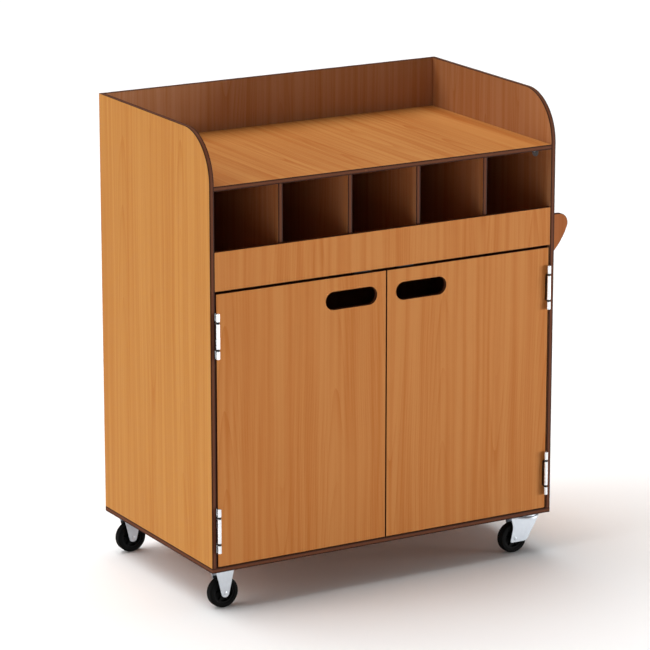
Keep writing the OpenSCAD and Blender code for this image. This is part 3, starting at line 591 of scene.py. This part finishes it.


# ---- boards -------------------------------------------------------------------------------------

# The inner faces of the sides take the dividers' greyer copy of the print, which is painted shade
laminate_board("left_side_panel", "X", round_cornered_side, DIVIDER, low_finish=SIDE)
laminate_board("right_side_panel", "X", round_cornered_side, SIDE, low_finish=DIVIDER)
laminate_board("base_panel", "Z", rectangle, LEVEL)
laminate_board("back_panel", "Y", rectangle, BACK, low_finish=REAR)
laminate_board("countertop", "Z", rectangle, COUNTER)
laminate_board("bin_floor", "Z", rectangle, LEVEL)
laminate_board("apron", "Y", rectangle, APRON)
for node in [name for name in nodes if name.startswith("bin_divider")]:
    laminate_board(node, "X", rectangle, DIVIDER)
laminate_board("shelf", "Z", rectangle, LEVEL)
laminate_board("left_door", "Y", notched_door, DOOR)
laminate_board("right_door", "Y", notched_door, DOOR)
laminate_board("handle_cheek_front", "Y", swept_cheek, CHEEK, arris=1.0)
laminate_board("handle_cheek_rear", "Y", swept_cheek, CHEEK, arris=1.0)


# ---- fittings -----------------------------------------------------------------------------------

# Solids with eased edges, found by words in their names: finish, width of the easing, and slot
EASED = [
    ("_fork", ZINC, 1.1, "zinc_steel"),
    ("_top_plate", ZINC, 0.5, "zinc_steel"),
    ("_leaf", NICKEL, 0.35, "bright_steel"),
    ("_hub", CENTRE, 0.6, "hub_plastic"),
    ("counter_brackets", ENAMEL, 0.5, "grey_bracket"),
    ("door_catches", CATCH, 0.6, "catch_plastic"),
]
for words, finish, width, slot in EASED:
    for node in [name for name in nodes if words in name]:
        eased_copy(node, finish, width)

for node in [name for name in nodes if name.endswith("screws")]:
    cross_recessed(node)

for side, places in zip(("left", "right"), separate_solids(nodes["door_catches"].data)):
    catch_poles(side, places)

# Solids that are shown in their own shape, found by words in their names
PLAIN = [
    ("_tyre", RUBBER),
    ("axle", ZINC),
    ("kingpins", ZINC),
    ("race_balls", BALL),
    ("strike_plate", ZINC),
    ("hinge_pin", NICKEL),
    ("hinge_bushes", NYLON),
    ("shelf_pins", SCREW),
    ("handle_bar", BEECH),
    ("panel_dowels", BEECH),
]
for words, finish in PLAIN:
    for node in [name for name in nodes if words in name]:
        nodes[node].material_slots[0].material = finish


# ---- camera, floor and light --------------------------------------------------------------------

# The photograph's viewpoint, in metres: round to the left of the front, looking 15 degrees down
camera = linked("camera", bpy.data.cameras.new("camera"))
camera.location = (-4.3032, -7.35855, 2.8615)
camera.rotation_euler = (math.radians(90 - 15.0135), 0, math.radians(-30.009))
camera.data.sensor_width = 36
camera.data.lens = 199.08
camera.data.clip_end = 60
bpy.context.scene.camera = camera

# Matt pale paint: it takes a soft shadow and gives no mirror image of the cabinet
FLOOR_REACH = 40.0  # metres from the middle to each edge
pale, _, shader = material("pale_floor", Roughness=0.9, Specular_IOR_Level=0.1)
shader.inputs["Base Color"].default_value = linear("#F6F6F6")
plane = bpy.data.meshes.new("floor")
floor_corners = [(x * FLOOR_REACH, y * FLOOR_REACH, 0) for x, y in ((-1, -1), (1, -1), (1, 1), (-1, 1))]
plane.from_pydata(floor_corners, [], [(0, 1, 2, 3)])
plane.materials.append(pale)
floor = linked("floor", plane)

# The walls look white to the camera, but light the cabinet only softly
WALL_LIGHT = 0.18
world = bpy.data.worlds.new("studio")
bpy.context.scene.world = world
world.use_nodes = True
studio = world.node_tree
studio.nodes["Background"].inputs["Color"].default_value = (1, 1, 1, 1)
seen = add(studio, "LightPath").outputs["Is Camera Ray"]
glow = add(studio, "Math", [seen, 1 - WALL_LIGHT, WALL_LIGHT], operation="MULTIPLY_ADD")
studio.links.new(glow.outputs[0], studio.nodes["Background"].inputs["Strength"])
bpy.context.scene.view_settings.view_transform = "Standard"


def lamp(name, kind, towards, strength, place=(0, 0, 3), **settings):
    """A lamp that shines towards a direction. Its place is in metres, and its strength in watts, or in
    watts per square metre for a sun, whose place doesn't count."""
    light = bpy.data.lights.new(name, kind)
    light.energy = strength
    for key, value in settings.items():
        setattr(light, key, value)
    holder = linked(name, light)
    holder.location = place
    holder.rotation_euler = Vector(towards).to_track_quat("-Z", "Y").to_euler()
    holder.visible_camera = False


# Soft key from the left and soft top light from a little behind; two far low lamps fill the left side and
# the front from below the counter's height, so that the bins and the tray stay in their own shade
BAND = {"shape": "RECTANGLE", "size": 8.0, "size_y": 0.8}
lamp("key_left", "SUN", (0.835, -0.147, -0.53), 1.12, angle=math.radians(40))
lamp("overhead", "SUN", (0.1, -0.35, -0.93), 2.78, angle=math.radians(60))
lamp("right_fill", "SUN", (-0.92, 0.1, -0.34), 0.12, angle=math.radians(60))
lamp("low_left", "AREA", (1, -0.05, 0), 900, place=(-18, 1, 0.5), **BAND)
lamp("low_right", "AREA", (-0.87, 0.5, 0), 4000, place=(17.3, -10, 0.5), **BAND)
